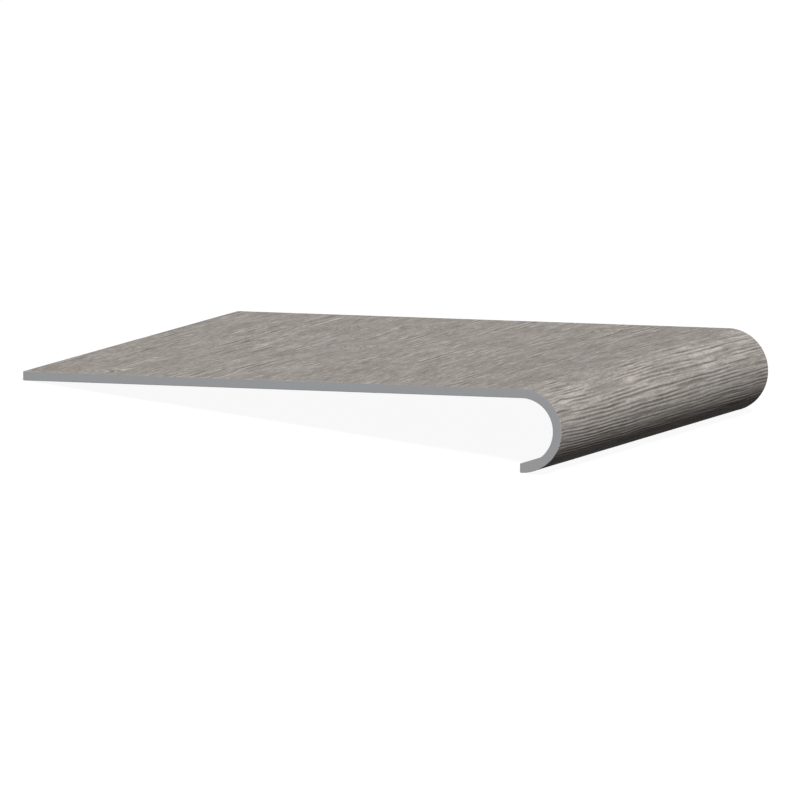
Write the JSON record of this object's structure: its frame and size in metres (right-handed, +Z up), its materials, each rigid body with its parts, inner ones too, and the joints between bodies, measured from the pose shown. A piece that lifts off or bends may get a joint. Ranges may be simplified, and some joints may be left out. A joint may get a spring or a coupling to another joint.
{
  "type": "stair tread overlay",
  "caption": "Thin wood-look stair tread overlay: a flat panel whose front edge is bent round into a bullnose with a short lip, so that it hooks over the nose of an old stair tread.",
  "frame": {"origin": "middle of the bounding box's underside, on the floor that the overlay lies on", "axes": "+Z up from the floor, +Y along the stair, +X from the back edge towards the nose. The overlay is stored as it lies loose, on its back edge and its lip, so its walking surface rises towards the nose by 8.09 degrees"},
  "size_m": [0.3054, 0.343, 0.0449],
  "materials": {
    "wood_look_vinyl": "matte"
  },
  "bodies": {
    "root": {"tread_overlay": "wood_look_vinyl"}
  },
  "joints": []
}
